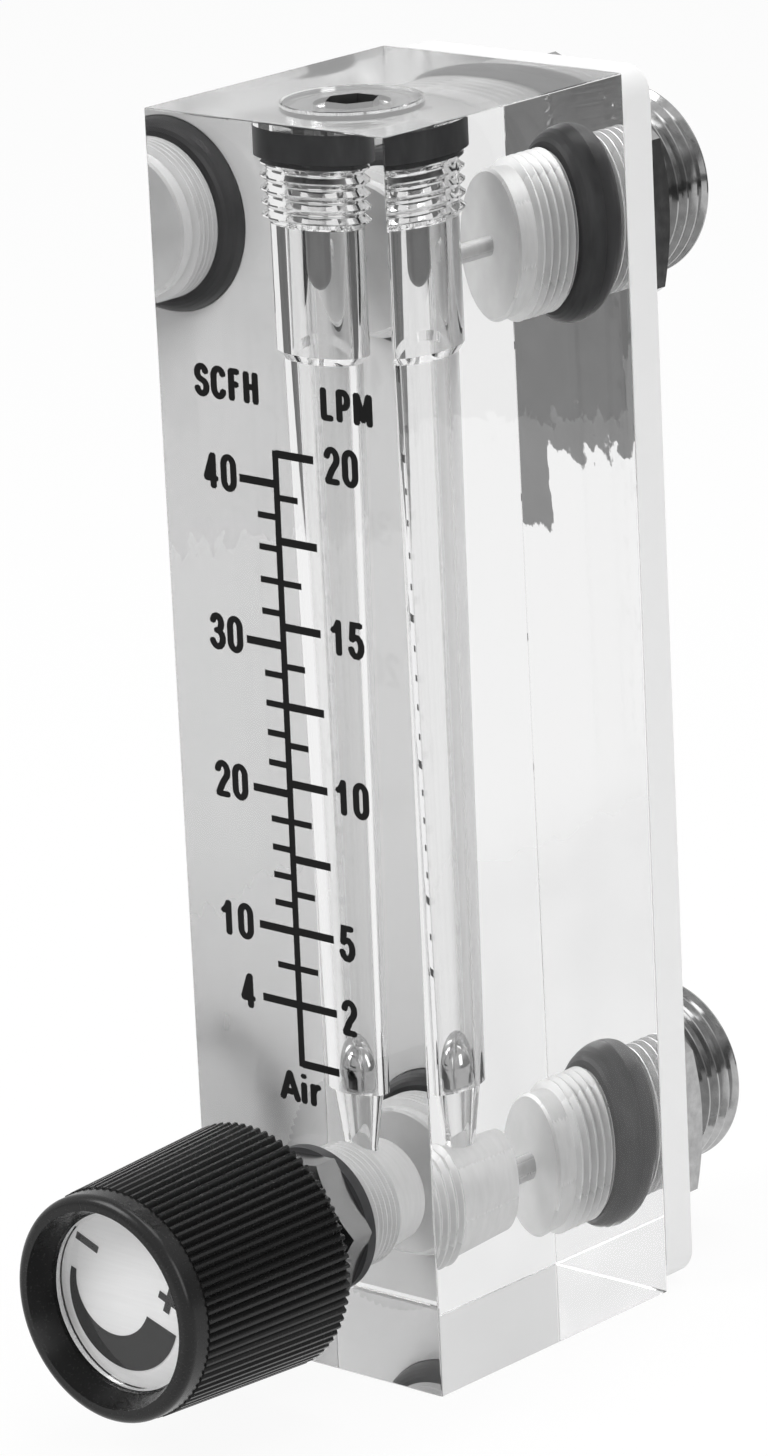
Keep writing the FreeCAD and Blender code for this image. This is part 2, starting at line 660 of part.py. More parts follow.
extrude(knob_screw, "cross_recess", cross_outline, size.cross_depth, "Pocket", back=True)
place_on_valve(knob_screw)

# Dial disc and its clear cover, pressed into the knob's pocket
dial_front = size.dial_pocket_floor + size.dial_thickness
dial_disc = new_body("dial_disc")
turn(dial_disc, "dial_turning", rectangle((0, -dial_front), (size.dial_radius, -size.dial_pocket_floor)))
place_on_valve(dial_disc)

dial_lens = new_body("dial_lens")
lens_radius = size.dial_pocket_radius - size.lens_gap
lens_front = dial_front + size.lens_thickness
turn(dial_lens, "lens_turning", [
    (0, -lens_front),
    (lens_radius - size.lens_bevel, -lens_front),
    (lens_radius, size.lens_bevel - lens_front),
    (lens_radius, -dial_front),
    (0, -dial_front),
])
place_on_valve(dial_lens)


# Fittings, their O-rings and panel nuts: the same three pieces at both ports

def make_fitting(name):
    """Nickel-plated brass: a fine-threaded spigot in the block, a pipe thread behind."""
    body = new_body(name)
    spigot_radius = size.port_thread_radius - size.thread_gap
    turn(body, name + "_turning", [
        (size.fitting_bore_radius, -size.port_thread_depth),
        (spigot_radius - size.fitting_bevel, -size.port_thread_depth),
        (spigot_radius, size.fitting_bevel - size.port_thread_depth),
        (spigot_radius, -size.port_mouth_depth),
        (size.fitting_neck_radius, -size.port_mouth_depth),
        (size.fitting_neck_radius, 0),
        (size.fitting_radius, 0),
        (size.fitting_radius, size.fitting_length - size.fitting_bevel),
        (size.fitting_radius - size.fitting_bevel, size.fitting_length),
        (size.fitting_bore_radius, size.fitting_length),
    ])
    return body


def make_panel_nut(name):
    """Nickel-plated brass hexagon nut, screwed up against the back plate."""
    body = new_body(name)
    sketch = new_sketch(body, name + "_outline", "XY_Plane")
    draw_outline(sketch, hexagon(size.nut_flats, 30))
    draw_circle(sketch, (0, 0), size.fitting_radius + size.thread_gap)
    extrude(body, name + "_blank", sketch, size.nut_thickness)
    chamfer_hexagon(body, name + "_front_bevel", size.nut_flats, ZERO, 1)
    chamfer_hexagon(body, name + "_rear_bevel", size.nut_flats, size.nut_thickness, -1)
    return body


fitting_ring_section = size.port_mouth_depth - size.seal_gap * 2
fitting_ring_radius = size.fitting_neck_radius + size.seal_gap + fitting_ring_section / 2
pieces = [block, back_plate, top_plug, plug_ring, metering_float, valve_washer, valve_body,
          valve_stem, stem_ring, knob, knob_screw, dial_disc, dial_lens]
for level, height in (("lower", size.port_height), ("upper", UPPER_PORT_HEIGHT)):
    fitting = make_fitting(level + "_fitting")
    place(fitting, y=REAR, z=height, facing_back=True)
    fitting_ring = ring_seal(level + "_fitting_o_ring", fitting_ring_radius, fitting_ring_section)
    place(fitting_ring, y=REAR - size.port_mouth_depth / 2, z=height, facing_back=True)
    panel_nut = make_panel_nut(level + "_panel_nut")
    place(panel_nut, y=REAR + size.plate_thickness, z=height, facing_back=True)
    pieces += [fitting, fitting_ring, panel_nut]


# Checks, then one STEP file for each piece

doc.recompute()
for item in doc.Objects:
    if "Invalid" in item.State or "Error" in item.State:
        raise RuntimeError(f"{item.Name} did not build: {item.State}")
    base = getattr(item, "BaseFeature", None)
    is_cut = item.TypeId in ("PartDesign::Groove", "PartDesign::Pocket", "PartDesign::SubtractiveLoft")
    if is_cut and base and item.Shape.Volume > base.Shape.Volume - 1e-4:
        raise RuntimeError(f"{item.Name} cuts nothing")

os.makedirs("parts", exist_ok=True)
for piece in pieces:
    shape = piece.Shape
    if shape.isNull() or not shape.isValid() or len(shape.Solids) != 1:
        raise RuntimeError(f"{piece.Label} is not one valid solid")
    shape.exportStep(f"parts/{piece.Label}.step")
    print(f"{piece.Label:24s} {shape.Volume:10.2f} mm3")
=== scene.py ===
import bpy
from math import cos, pi, radians, sin, sqrt
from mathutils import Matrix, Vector


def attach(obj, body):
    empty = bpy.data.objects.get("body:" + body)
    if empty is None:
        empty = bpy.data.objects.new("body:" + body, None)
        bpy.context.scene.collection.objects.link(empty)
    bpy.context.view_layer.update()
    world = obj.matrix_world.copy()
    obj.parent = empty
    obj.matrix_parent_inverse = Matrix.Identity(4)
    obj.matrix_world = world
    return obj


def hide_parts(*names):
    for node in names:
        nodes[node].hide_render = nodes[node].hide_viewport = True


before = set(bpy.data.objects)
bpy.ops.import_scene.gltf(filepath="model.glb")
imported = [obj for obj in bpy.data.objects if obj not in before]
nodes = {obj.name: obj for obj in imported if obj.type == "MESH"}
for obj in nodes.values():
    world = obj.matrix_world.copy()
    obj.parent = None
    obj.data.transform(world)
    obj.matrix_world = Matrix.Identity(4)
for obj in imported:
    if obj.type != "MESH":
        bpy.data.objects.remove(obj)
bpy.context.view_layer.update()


# The clear block is one piece of cast acrylic, sawn, bored and tapped, then polished on its
# outside and in the metering tube. The tapped holes and the ports stay as the cutter left them,
# so their walls are frosted. Sizes are in millimetres unless a comment says otherwise.

MM = 0.001
FRONT = -15.0
BLOCK_WIDTH, BLOCK_DEPTH, BLOCK_TOP = 26.0, 29.95, 107.0
EDGE_BEVEL = 0.13
TUBE_Y = -4.0
LOWER, UPPER = 13.3, 93.7
ACRYLIC_IOR = 1.49


class Value:
    """A number that changes over a surface; arithmetic on it adds the shader's Math nodes."""

    def __init__(self, tree, socket):
        self.tree = tree
        self.socket = socket

    def combine(self, operation, first, second):
        math = self.tree.nodes.new("ShaderNodeMath")
        math.operation = operation
        for place, term in enumerate((first, second)):
            if isinstance(term, Value):
                self.tree.links.new(term.socket, math.inputs[place])
            else:
                math.inputs[place].default_value = term
        return Value(self.tree, math.outputs[0])

    def __add__(self, other):
        return self.combine("ADD", self, other)

    def __radd__(self, other):
        return self.combine("ADD", other, self)

    def __sub__(self, other):
        return self.combine("SUBTRACT", self, other)

    def __rsub__(self, other):
        return self.combine("SUBTRACT", other, self)

    def limited(self):
        """Keep the number between 0 and 1."""
        return self.combine("MINIMUM", self.combine("MAXIMUM", self, 0.0), 1.0)

    def __mul__(self, other):
        return self.combine("MULTIPLY", self, other)

    def __rmul__(self, other):
        return self.combine("MULTIPLY", other, self)


class Finish:
    """One kind of surface of the instrument: a material and its shader nodes."""

    def __init__(self, name, **constants):
        self.material = bpy.data.materials.new(name)
        self.material.use_nodes = True
        self.tree = self.material.node_tree
        self.shader = self.tree.nodes["Principled BSDF"]
        self.output = self.tree.nodes["Material Output"]
        for socket, value in constants.items():
            if socket == "Base_Color":
                value = (*value, 1.0)
            self.shader.inputs[socket.replace("_", " ")].default_value = value

    def node(self, kind, settings=None, **sockets):
        """Add a node: its settings first, then a value or a link for each socket."""
        made = self.tree.nodes.new("ShaderNode" + kind)
        for setting, value in (settings or {}).items():
            setattr(made, setting, value)
        for socket, value in sockets.items():
            target = made.inputs[socket.replace("_", " ")]
            if isinstance(value, Value):
                self.tree.links.new(value.socket, target)
            else:
                target.default_value = value
        return made

    def value(self, made, output):
        return Value(self.tree, made.outputs[output])

    def place(self, scale=(1.0, 1.0, 1.0), turn=(0.0, 0.0, 0.0), shift=(0.0, 0.0, 0.0)):
        """Object coordinates, shifted, turned and scaled."""
        where = self.value(self.node("TexCoord"), "Object")
        mapping = self.node("Mapping", Vector=where, Location=shift, Rotation=turn, Scale=scale)
        return self.value(mapping, "Vector")

    def across(self, axis, start_mm, end_mm):
        """Run from 0 to 1 between two places along the piece's X, Y or Z."""
        apart = self.node("SeparateXYZ", Vector=self.place())
        run = self.node("MapRange", {"interpolation_type": "SMOOTHSTEP"},
                        Value=self.value(apart, axis), From_Min=start_mm * MM, From_Max=end_mm * MM)
        return self.value(run, "Result")

    def grain(self, size_mm, detail=3.0, where=None):
        """Noise between 0 and 1 whose blotches are about this size."""
        made = self.node("TexNoise", Vector=where or self.place(), Scale=1.0 / (size_mm * MM),
                         Detail=detail)
        return self.value(made, "Fac")

    def feed(self, socket, value):
        self.tree.links.new(value.socket, self.shader.inputs[socket])

    def relief(self, height, depth_mm, strength=1.0):
        """Let a height between 0 and 1 stand as relief of this depth."""
        bump = self.node("Bump", Height=height, Distance=depth_mm * MM, Strength=strength)
        self.feed("Normal", self.value(bump, "Normal"))

    def tint(self, amount, dark, light):
        """Run the base colour from dark to light as the amount goes from 0 to 1."""
        mix = self.node("Mix", {"data_type": "RGBA"}, Factor=amount)
        mix.inputs[6].default_value = (*dark, 1.0)
        mix.inputs[7].default_value = (*light, 1.0)
        self.tree.links.new(mix.outputs[2], self.shader.inputs["Base Color"])

    def let_light_through(self, colour):
        """Light reaches what is inside the acrylic: shadow and diffuse rays pass straight."""
        path = self.node("LightPath")
        straight = self.node("BsdfTransparent", Color=(*colour, 1.0))
        indirect = self.value(path, "Is Shadow Ray") + self.value(path, "Is Diffuse Ray")
        mix = self.node("MixShader", Fac=indirect)
        self.tree.links.new(self.shader.outputs[0], mix.inputs[1])
        self.tree.links.new(straight.outputs[0], mix.inputs[2])
        self.tree.links.new(mix.outputs[0], self.output.inputs["Surface"])

    def on(self, *pieces):
        for piece in pieces:
            piece.data.materials.clear()
            piece.data.materials.append(self.material)
        return self


def start_fresh():
    if bpy.context.object and bpy.context.object.mode != "OBJECT":
        bpy.ops.object.mode_set(mode="OBJECT")
    bpy.ops.object.select_all(action="DESELECT")


def turned(name, outline, centre, axis, steps=96):
    """Spin an outline of (radius, place along the axis) in millimetres into a solid."""
    along = Vector((0, 1, 0)) if axis == "Y" else Vector((0, 0, 1))
    start = Vector(centre)
    corners = [(start + Vector((radius, 0, 0)) + along * reach) * MM for radius, reach in outline]
    start_fresh()
    bpy.ops.mesh.primitive_plane_add(size=MM, location=(0, 0, 0))
    piece = bpy.context.object
    piece.name = name
    bpy.ops.object.mode_set(mode="EDIT")
    bpy.ops.mesh.select_mode(type="VERT")
    bpy.ops.mesh.select_all(action="SELECT")
    bpy.ops.mesh.merge(type="CENTER")
    bpy.ops.transform.translate(value=corners[0])
    for here, there in zip(corners, corners[1:]):
        bpy.ops.mesh.extrude_vertices_move(TRANSFORM_OT_translate={"value": there - here})
    bpy.ops.mesh.select_all(action="SELECT")
    bpy.ops.mesh.spin(steps=steps, angle=2 * pi, center=start * MM, axis=along)
    bpy.ops.mesh.select_all(action="SELECT")
    bpy.ops.mesh.remove_doubles(threshold=1e-6)
    bpy.ops.mesh.normals_make_consistent(inside=False)
    bpy.ops.object.mode_set(mode="OBJECT")
    return piece


def thread(crest, root, start, end, pitch):
    """Outline of a thread from start to end: a row of flanks between root and crest."""
    direction = 1 if end > start else -1
    turns = int(abs(end - start) / pitch)
    outline = []
    for turn in range(turns):
        base = start + direction * pitch * turn
        for radius, share in ((root, 0.06), (crest, 0.44), (crest, 0.56), (root, 0.94)):
            outline.append((radius, base + direction * pitch * share))
    return outline


def cut(piece, tool):
    """Cut one solid out of another, keeping the tool's finish on the cut."""
    start_fresh()
    bpy.context.view_layer.objects.active = piece
    piece.select_set(True)
    boolean = piece.modifiers.new("cut", "BOOLEAN")
    boolean.operation = "DIFFERENCE"
    boolean.solver = "EXACT"
    boolean.material_mode = "TRANSFER"
    boolean.object = tool
    bpy.ops.object.modifier_apply(modifier="cut")
    bpy.data.objects.remove(tool)


def smooth(piece, degrees=32):
    start_fresh()
    bpy.context.view_layer.objects.active = piece
    piece.select_set(True)
    bpy.ops.object.shade_smooth_by_angle(angle=radians(degrees))


def settle(piece):
    """Leave the object at the origin with its place in its mesh."""
    start_fresh()
    bpy.context.view_layer.objects.active = piece
    piece.select_set(True)
    bpy.ops.object.transform_apply(location=True, rotation=True, scale=True)


polished_acrylic = Finish("polished_acrylic", Base_Color=(0.88, 0.88, 0.88),
                          Transmission_Weight=1.0, IOR=ACRYLIC_IOR, Specular_IOR_Level=0.5)
polished_acrylic.relief(polished_acrylic.grain(9.0, 1.0), 0.004, 0.5)
left_side = polished_acrylic.across("X", -12.9, -12.98)
held_low = polished_acrylic.across("Z", 48.0, 34.0)
held_high = polished_acrylic.across("Z", 78.0, 88.0) * 0.09
top_face = polished_acrylic.across("Z", 106.9, 106.99) * 0.4
handled = left_side * (held_low + held_high) + top_face
polished_acrylic.feed("Roughness", handled * (0.2 + polished_acrylic.grain(6.0, 2.0) * 0.3))
polished_acrylic.let_light_through((0.95, 0.95, 0.95))


def frosted(name, clearness, grey):
    """Acrylic as a drill or a tap leaves it: it scatters light, and lets some of it through."""
    finish = Finish(name, Base_Color=(0.85, 0.85, 0.85), Transmission_Weight=clearness,
                    IOR=ACRYLIC_IOR, Specular_IOR_Level=0.3)
    cutter_marks = finish.grain(0.6, 4.0, finish.place((0.25, 1.0, 0.25)))
    finish.tint(cutter_marks, (grey, grey, grey), (grey + 0.25, grey + 0.25, grey + 0.25))
    finish.feed("Roughness", 0.45 + cutter_marks * 0.25)
    finish.relief(cutter_marks, 0.03, 0.6)
    finish.let_light_through((0.9, 0.9, 0.9))
    return finish


drilled_acrylic = frosted("drilled_acrylic", 0.5, 0.6)
tapped_acrylic = frosted("tapped_acrylic", 0.42, 0.64)
# The gas channels are frosted like the ports but painted a darker grey: painted shade inside the
# narrow holes.
shaded_channel_acrylic = frosted("shaded_channel_acrylic", 0.5, 0.35)

pressed_rubber = Finish("pressed_rubber", Base_Color=(0.02, 0.02, 0.02), IOR=ACRYLIC_IOR,
                        Specular_IOR_Level=0.15)
contact = pressed_rubber.grain(0.9, 3.0, pressed_rubber.place((0.3, 1.0, 0.3)))
pressed_rubber.feed("Roughness", 0.25 + contact * 0.25)
pressed_rubber.tint(contact, (0.012, 0.012, 0.013), (0.05, 0.05, 0.051))

start_fresh()
block_middle = (0, (FRONT + BLOCK_DEPTH / 2) * MM, BLOCK_TOP / 2 * MM)
bpy.ops.mesh.primitive_cube_add(size=1.0, location=block_middle)
clear_block = bpy.context.object
clear_block.name = "clear_block"
clear_block.scale = (BLOCK_WIDTH * MM, BLOCK_DEPTH * MM, BLOCK_TOP * MM)
settle(clear_block)
bpy.ops.object.mode_set(mode="EDIT")
bpy.ops.mesh.select_all(action="SELECT")
bpy.ops.mesh.bevel(offset=EDGE_BEVEL * MM, segments=3, affect="EDGES")
bpy.ops.object.mode_set(mode="OBJECT")
polished_acrylic.on(clear_block)


def refinish(piece, finish, low, high, inner, outer):
    """Give a wall round the tube's axis, between two heights and two radii, another finish."""
    piece.data.materials.append(finish.material)
    for face in piece.data.polygons:
        reach = (Vector((face.center.x, face.center.y)) - Vector((0, TUBE_Y * MM))).length
        if low * MM < face.center.z < high * MM and inner * MM < reach < outer * MM:
            face.material_index = len(piece.data.materials) - 1


HEAD_SEAT, RECESS_FLOOR, PLUG_END = 105.6, 103.1, 97.6
FLOAT_SEAT, PASSAGE_FOOT = 23.15, 12.0
plug_bore = turned("plug_bore", [
    (0, 108.5), (5.95, 108.5), (5.95, HEAD_SEAT), (5.95, RECESS_FLOOR),
    *thread(5.4, 4.75, RECESS_FLOOR, PLUG_END, 1.1), (4.6, 97.5), (4.6, 86.9), (3.9, 86.2),
    (3.5, 54.7), (3.1, FLOAT_SEAT), (2.54, FLOAT_SEAT), (1.7, 18.2), (1.6, PASSAGE_FOOT),
    (0, PASSAGE_FOOT),
], (0, TUBE_Y, 0), "Z", 128)
polished_acrylic.on(plug_bore)
refinish(plug_bore, pressed_rubber, 103.05, HEAD_SEAT, 5.1, 6.0)
cut(clear_block, plug_bore)

CHAMBER_END = 0.7
valve_bore = turned("valve_bore", [
    (0, -16.5), (5.0, -16.5), (5.0, -14.8), *thread(5.45, 5.0, -14.8, -6.4, 1.05),
    (4.6, CHAMBER_END), (0, CHAMBER_END),
], (0, 0, LOWER), "Y")
tapped_acrylic.on(valve_bore)
cut(clear_block, valve_bore)

PORT_RADIUS, MOUTH_RADIUS = 7.0, 8.45
MOUTH_FLOOR, THREAD_START, DRILLED_END = 12.3, 12.2, 4.9
for height in (LOWER, UPPER):
    bulge = [(PORT_RADIUS + (MOUTH_RADIUS - PORT_RADIUS) * sin(radians(angle)),
              MOUTH_FLOOR + 2.65 * (1 - cos(radians(angle)))) for angle in range(90, 0, -15)]
    port_cone = turned("port_cone", [
        (0, 16.5), (MOUTH_RADIUS, 16.5), *bulge, (PORT_RADIUS, MOUTH_FLOOR), (0, MOUTH_FLOOR),
    ], (0, 0, height), "Y", 128)
    pressed_rubber.on(port_cone)
    cut(clear_block, port_cone)
    port_bore = turned("port_bore", [
        (0, 13.0), (6.7, 13.0), (6.7, THREAD_START),
        *thread(PORT_RADIUS, 6.35, THREAD_START, 7.15, 1.0),
        (6.5, 5.15), (6.25, DRILLED_END), (0, DRILLED_END),
    ], (0, 0, height), "Y")
    drilled_acrylic.on(port_bore)
    cut(clear_block, port_bore)

for height, radius, start in ((LOWER, 1.2, 0.4), (UPPER, 0.85, TUBE_Y)):
    channel = turned("gas_channel", [(0, start), (radius, start), (radius, 5.6), (0, 5.6)],
                     (0, 0, height), "Y", 32)
    shaded_channel_acrylic.on(channel)
    cut(clear_block, channel)
smooth(clear_block, 10)
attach(clear_block, "block_assembly")
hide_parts("metering_block")


# The back plate is cut from opal acrylic sheet, drilled for the two fittings and clamped to the
# block by the panel nuts. It has the satin surface that the sheet is cast with.

opal_sheet = Finish("opal_sheet", Base_Color=(0.82, 0.82, 0.82), IOR=ACRYLIC_IOR)
opal_sheet.feed("Roughness", 0.3 + opal_sheet.grain(0.4, 2.0) * 0.06)
opal_sheet.on(nodes["back_plate"])


# The top plug is turned from clear acrylic: a disc head with a hexagon socket, a fine thread and
# a stop pin that ends the float's travel. It screws down on its O-ring.

turned_acrylic = Finish("turned_acrylic", Base_Color=(0.96, 0.96, 0.96),
                        Transmission_Weight=1.0, IOR=ACRYLIC_IOR, Roughness=0.06)
turning_marks = turned_acrylic.grain(0.35, 2.0, turned_acrylic.place((0.15, 0.15, 1.0)))
turned_acrylic.relief(turning_marks, 0.006, 0.6)
turned_acrylic.let_light_through((0.93, 0.93, 0.93))

PIN_RADIUS, PIN_SHOULDER = 1.83, 93.5
pin_tip = [(PIN_RADIUS * cos(radians(angle)), PIN_SHOULDER - PIN_RADIUS * sin(radians(angle)))
           for angle in range(0, 90, 15)]
clear_plug = turned("clear_plug", [
    (0, BLOCK_TOP), (5.65, BLOCK_TOP), (5.85, 106.8), (5.85, HEAD_SEAT), (3.2, HEAD_SEAT),
    (3.2, RECESS_FLOOR), (4.5, RECESS_FLOOR), (4.5, 97.8), (4.4, PLUG_END),
    (PIN_RADIUS, PLUG_END), *pin_tip, (0, PIN_SHOULDER - PIN_RADIUS),
], (0, TUBE_Y, 0), "Z", 96)
SOCKET_FLATS, SOCKET_MIDDLE = 4.0, 105.0
start_fresh()
bpy.ops.mesh.primitive_cylinder_add(
    vertices=6, radius=SOCKET_FLATS / sqrt(3) * MM, depth=6.0 * MM,
    location=(0, TUBE_Y * MM, SOCKET_MIDDLE * MM), rotation=(0, 0, radians(30)))
hexagon_socket = bpy.context.object
settle(hexagon_socket)
turned_acrylic.on(clear_plug)
refinish(clear_plug, pressed_rubber, 103.15, 105.5, 3.0, 3.3)
# The stop pin is clear acrylic like the rest of the plug; its tip is painted dark grey, painted
# shade for the dark look it has through the block.
pin_painted_shade = Finish("pin_painted_shade", Base_Color=(0.16, 0.16, 0.16), IOR=ACRYLIC_IOR,
                  Specular_IOR_Level=0.4)
pin_painted_shade.feed("Roughness", 0.25 + pin_painted_shade.grain(0.4, 2.0) * 0.2)
refinish(clear_plug, pin_painted_shade, 91.6, 97.5, 0.0, 1.9)
socket_shade = Finish("socket_shade", Base_Color=(0.03, 0.03, 0.03), IOR=ACRYLIC_IOR)
socket_shade.feed("Roughness", 0.2 + socket_shade.grain(0.5, 2.0) * 0.3)
socket_shade.on(hexagon_socket)
cut(clear_plug, hexagon_socket)
smooth(clear_plug)
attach(clear_plug, "block_assembly")
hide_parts("top_plug")


# O-rings and the washer under the valve's hexagon are moulded black rubber, pressed between the
# pieces that they seal.

ring_rubber = Finish("ring_rubber")
rubber_bloom = ring_rubber.grain(1.2, 4.0)
ring_rubber.feed("Roughness", 0.34 + rubber_bloom * 0.25)
ring_rubber.tint(rubber_bloom, (0.016, 0.016, 0.018), (0.04, 0.04, 0.042))
ring_rubber.on(nodes["top_plug_o_ring"], nodes["lower_fitting_o_ring"],
               nodes["upper_fitting_o_ring"], nodes["stem_o_ring"], nodes["valve_washer"])


# The float is turned from stainless steel and polished. It lies on the seat at the foot of the
# tube until gas lifts it.

float_steel = Finish("float_steel", Base_Color=(0.42, 0.42, 0.42), Metallic=1.0)
float_steel.feed("Roughness", 0.03 + float_steel.grain(0.8, 3.0) * 0.06)
float_steel.on(nodes["float"], nodes["knob_screw"])


# The valve body is turned from hexagon brass bar and nickel plated, and screws into the block's
# front face. The stem is of the same metal, and carries the knob.

nickel_plate = Finish("nickel_plate", Metallic=1.0)
plating = nickel_plate.grain(4.0, 1.0)
nickel_plate.feed("Roughness", 0.2 + plating * 0.08)
nickel_plate.tint(plating, (0.32, 0.32, 0.32), (0.4, 0.4, 0.4))
nickel_plate.on(nodes["valve_body"], nodes["valve_stem"])


# The knob is moulded in black plastic with fine straight ribs for grip and a smooth ring in
# front, and is held on the stem's flatted shaft by a screw under its dial.

knob_plastic = Finish("knob_plastic", Base_Color=(0.012, 0.012, 0.012), Specular_IOR_Level=0.26)
moulding = knob_plastic.grain(0.25, 4.0)
knob_plastic.feed("Roughness", 0.2 + moulding * 0.12)
knob_plastic.relief(moulding, 0.006, 0.5)
knob_plastic.on(nodes["knob"])


# The dial is a printed disc in the knob's pocket, under a clear cover: a crescent that swells
# towards the open side, a minus for less gas and a plus for more.

DIAL_FACE = -37.9
DIAL_TURN = -21
dial_white = Finish("dial_white", Roughness=0.4)
brushing = dial_white.grain(0.2, 2.0, dial_white.place((0.05, 1.0, 1.0), (0, radians(35), 0)))
dial_white.tint(brushing, (0.86, 0.86, 0.86), (0.94, 0.94, 0.94))
dial_white.on(nodes["dial_disc"])

black_ink = Finish("black_ink", Base_Color=(0.006, 0.006, 0.006), Specular_IOR_Level=0.12)
black_ink.feed("Roughness", 0.45 + black_ink.grain(0.5, 2.0) * 0.2)


def flat_shape(name, corners, y, thick):
    """A flat printed shape facing the front, from its corners in millimetres."""
    start_fresh()
    bpy.ops.mesh.primitive_plane_add(size=MM, location=(0, 0, 0))
    piece = bpy.context.object
    piece.name = name
    bpy.ops.object.mode_set(mode="EDIT")
    bpy.ops.mesh.select_mode(type="VERT")
    bpy.ops.mesh.select_all(action="SELECT")
    bpy.ops.mesh.merge(type="CENTER")
    places = [Vector((x, y, z)) * MM for x, z in corners]
    bpy.ops.transform.translate(value=places[0])
    for here, there in zip(places, places[1:]):
        bpy.ops.mesh.extrude_vertices_move(TRANSFORM_OT_translate={"value": there - here})
    bpy.ops.mesh.select_all(action="SELECT")
    bpy.ops.mesh.edge_face_add()
    bpy.ops.mesh.extrude_region_move(TRANSFORM_OT_translate={"value": (0, thick * MM, 0)})
    bpy.ops.mesh.select_all(action="SELECT")
    bpy.ops.mesh.normals_make_consistent(inside=False)
    bpy.ops.object.mode_set(mode="OBJECT")
    return piece


def on_circle(radius, x, z, start, end, steps=40):
    """Points on a circle about x and z, between two angles in degrees."""
    angles = [radians(start + (end - start) * step / steps) for step in range(steps + 1)]
    return [(x + radius * cos(angle), z + radius * sin(angle)) for angle in angles]


crescent = flat_shape("dial_crescent", [
    (x, LOWER + z) for x, z in
    on_circle(6.0, -0.6, -0.2, -18, -198) + on_circle(4.09, -1.76, 0.66, -191.55, -24.45)
], DIAL_FACE - 0.05, 0.04)


def bar(name, length, width, x, y, z, turn, thick=0.04):
    """A flat printed bar facing the front; the turn is counter-clockwise, in degrees."""
    across, up = cos(radians(turn)), sin(radians(turn))
    corners = []
    for right, top in ((-1, -1), (1, -1), (1, 1), (-1, 1)):
        reach, rise = right * length / 2, top * width / 2
        corners.append((x + reach * across - rise * up, z + reach * up + rise * across))
    return flat_shape(name, corners, y - thick / 2, thick)


dial_marks = [
    bar("dial_minus", 2.5, 0.65, -4.35, DIAL_FACE - 0.03, LOWER + 4.1, DIAL_TURN),
    bar("dial_plus_across", 2.3, 0.65, 4.55, DIAL_FACE - 0.03, LOWER + 0.85, DIAL_TURN),
    bar("dial_plus_up", 0.65, 2.3, 4.55, DIAL_FACE - 0.04, LOWER + 0.85, DIAL_TURN),
]
for mark in (crescent, *dial_marks):
    black_ink.on(mark)
    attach(mark, "valve_spindle")

dial_cover = turned("dial_cover", [
    (0, -39.3), (7.32, -39.3), (7.62, -39.0), (7.62, -38.05), (0, -38.05)], (0, 0, LOWER), "Y")
cover_acrylic = Finish("cover_acrylic", Base_Color=(1.0, 1.0, 1.0), Transmission_Weight=1.0,
                       IOR=1.33, Roughness=0.0)
cover_acrylic.relief(cover_acrylic.grain(3.0, 1.0), 0.003, 0.4)
cover_acrylic.let_light_through((1.0, 1.0, 1.0))
cover_acrylic.on(dial_cover)
smooth(dial_cover)
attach(dial_cover, "valve_spindle")
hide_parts("dial_lens")


# The two fittings are turned in brass and nickel plated: a fine thread and a neck for the O-ring
# in the block's port, and a 3/8 inch parallel pipe thread behind. A hexagon nut on each clamps
# the back plate, and the panel when there is one.

PIPE_RADIUS, PIPE_ROOT, PIPE_PITCH = 8.33, 7.5, 1.337
NECK_RADIUS, NOSE_FACE, FREE_END = 4.85, 7.3, 32.3
machined_nickel = Finish("machined_nickel", Metallic=1.0)
machining = machined_nickel.grain(0.9, 4.0)
machined_nickel.feed("Roughness", 0.06 + machining * 0.1)
machined_nickel.tint(machining, (0.28, 0.28, 0.28), (0.55, 0.55, 0.55))
for level, height in (("lower", LOWER), ("upper", UPPER)):
    fitting = turned("threaded_" + level + "_fitting", [
        (3.5, NOSE_FACE), (6.15, NOSE_FACE), (6.2, 7.6), *thread(6.85, 6.2, 8.2, 12.3, 1.0),
        (6.2, 12.3), (NECK_RADIUS, 12.3), (NECK_RADIUS, 15.0), (PIPE_RADIUS, 15.0),
        (PIPE_RADIUS, 17.0), *thread(PIPE_RADIUS, PIPE_ROOT, 17.4, 32.15, PIPE_PITCH),
        (PIPE_ROOT, FREE_END), (4.1, FREE_END), (3.5, 31.7), (3.5, NOSE_FACE),
    ], (0, 0, height), "Y")
    machined_nickel.on(fitting)
    smooth(fitting)
    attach(fitting, "block_assembly")
    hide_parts(level + "_fitting")
    machined_nickel.on(nodes[level + "_panel_nut"])


# The scale is screen printed in black ink on the front face: one line, ticks on both sides, the
# numbers, the two units and the gas. Where strokes cross, each lies one LAYER behind the other.

PRINT_FACE = FRONT - 0.02
INK = 0.03
LAYER = 0.004
LINE_X = -0.65
PRINT_TURN = -0.55
print_pieces = [bar("scale_line", 0.64, 53.2, LINE_X, PRINT_FACE, 53.13, 0, INK)]
wide_left = [76.88, 63.13, 50.38, 38.39, 31.98]
wide_right = [79.47, 72.09, 64.79, 57.98, 51.32, 44.78, 38.48, 31.98, 26.8]
fine_left = [74.07, 71.36, 68.57, 65.87, 60.53, 57.97, 55.43, 52.85, 47.95, 45.5, 43.1, 40.68, 35.2]
fine_right = [75.77, 68.53, 61.41, 54.63, 48.0, 41.73, 35.2]
for heights, length, width, middle in (
    (wide_left, 3.95, 0.68, -2.75), (wide_right, 4.1, 0.68, 1.45),
    (fine_left, 2.1, 0.54, -1.8), (fine_right, 2.2, 0.54, 0.5),
):
    for height in heights:
        print_pieces.append(bar("tick", length, width, middle, PRINT_FACE + LAYER, height, 0, INK))


def bend(u, v, across, up, start, end, steps=10):
    """Part of an oval in a letter, between two angles in degrees."""
    angles = [radians(start + (end - start) * step / steps) for step in range(steps + 1)]
    return [(u + across * cos(angle), v + up * sin(angle)) for angle in angles]


